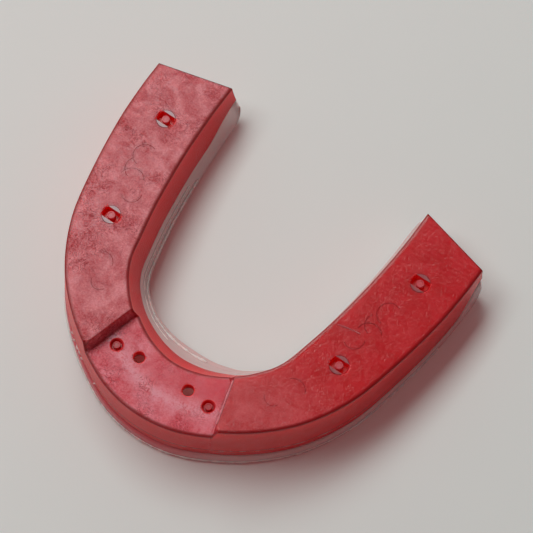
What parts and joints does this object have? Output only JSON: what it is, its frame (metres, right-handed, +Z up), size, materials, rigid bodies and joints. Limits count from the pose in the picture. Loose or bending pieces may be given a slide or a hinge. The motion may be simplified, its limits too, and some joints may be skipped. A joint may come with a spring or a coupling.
{
  "type": "boil-and-bite mouthguard",
  "caption": "Two-layer boil-and-bite mouthguard: firm red shell with a bite plate, clear soft fitting liner in its tooth channel.",
  "frame": {"origin": "centre of the bounding box, on the plane that the rim of the cheek and lip wall rests on", "axes": "+X across the arch, to the right as seen from the front teeth with the channel down (nodes named left are at -X), +Y from the front teeth to the open rear ends, +Z up through the bite plate"},
  "size_m": [0.0636, 0.054, 0.0129],
  "materials": {
    "red_shell": "translucent satin moulded thermoplastic",
    "clear_liner": "clear soft EVA with a dull gloss",
    "pink_stud": "translucent moulded thermoplastic"
  },
  "bodies": {
    "root": {"outer_shell": "red_shell", "fitting_liner": "clear_liner", "pocket_stud_front_left": "pink_stud", "pocket_stud_front_right": "pink_stud", "pocket_stud_rear_left": "pink_stud", "pocket_stud_rear_right": "pink_stud", "front_stud_left": "pink_stud", "front_stud_right": "pink_stud"}
  },
  "joints": []
}
